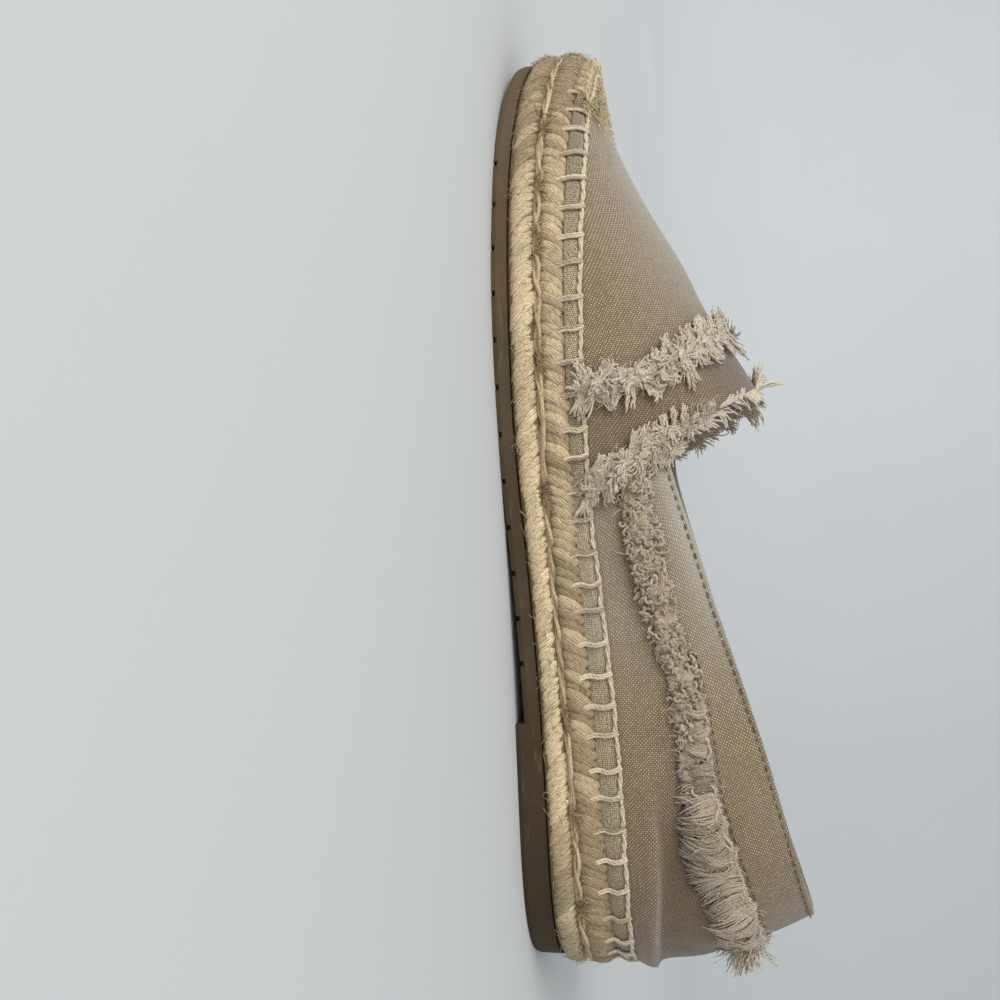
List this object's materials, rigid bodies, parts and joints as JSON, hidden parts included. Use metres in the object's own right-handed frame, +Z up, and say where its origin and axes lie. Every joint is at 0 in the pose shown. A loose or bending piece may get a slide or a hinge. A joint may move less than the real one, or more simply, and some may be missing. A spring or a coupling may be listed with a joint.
{
  "type": "espadrille",
  "caption": "Left slip-on canvas shoe with a braided jute midsole on a rubber outsole with a low heel, and a hollow upper open at the collar.",
  "frame": {"origin": "on the ground under the middle of the shoe's box", "axes": "+X to the toe, +Y to the shoe's left, which is the outer side of this left shoe, +Z up"},
  "size_m": [0.2459, 0.0843, 0.0724],
  "materials": {
    "rubber": "matt brown rubber",
    "jute": "natural braided jute",
    "footbed": "plain woven cloth",
    "canvas": "taupe plain-weave canvas with frayed raw edges"
  },
  "bodies": {
    "root": {"outsole": "rubber", "jute_midsole": "jute", "insole": "footbed", "upper": "canvas"}
  },
  "joints": []
}
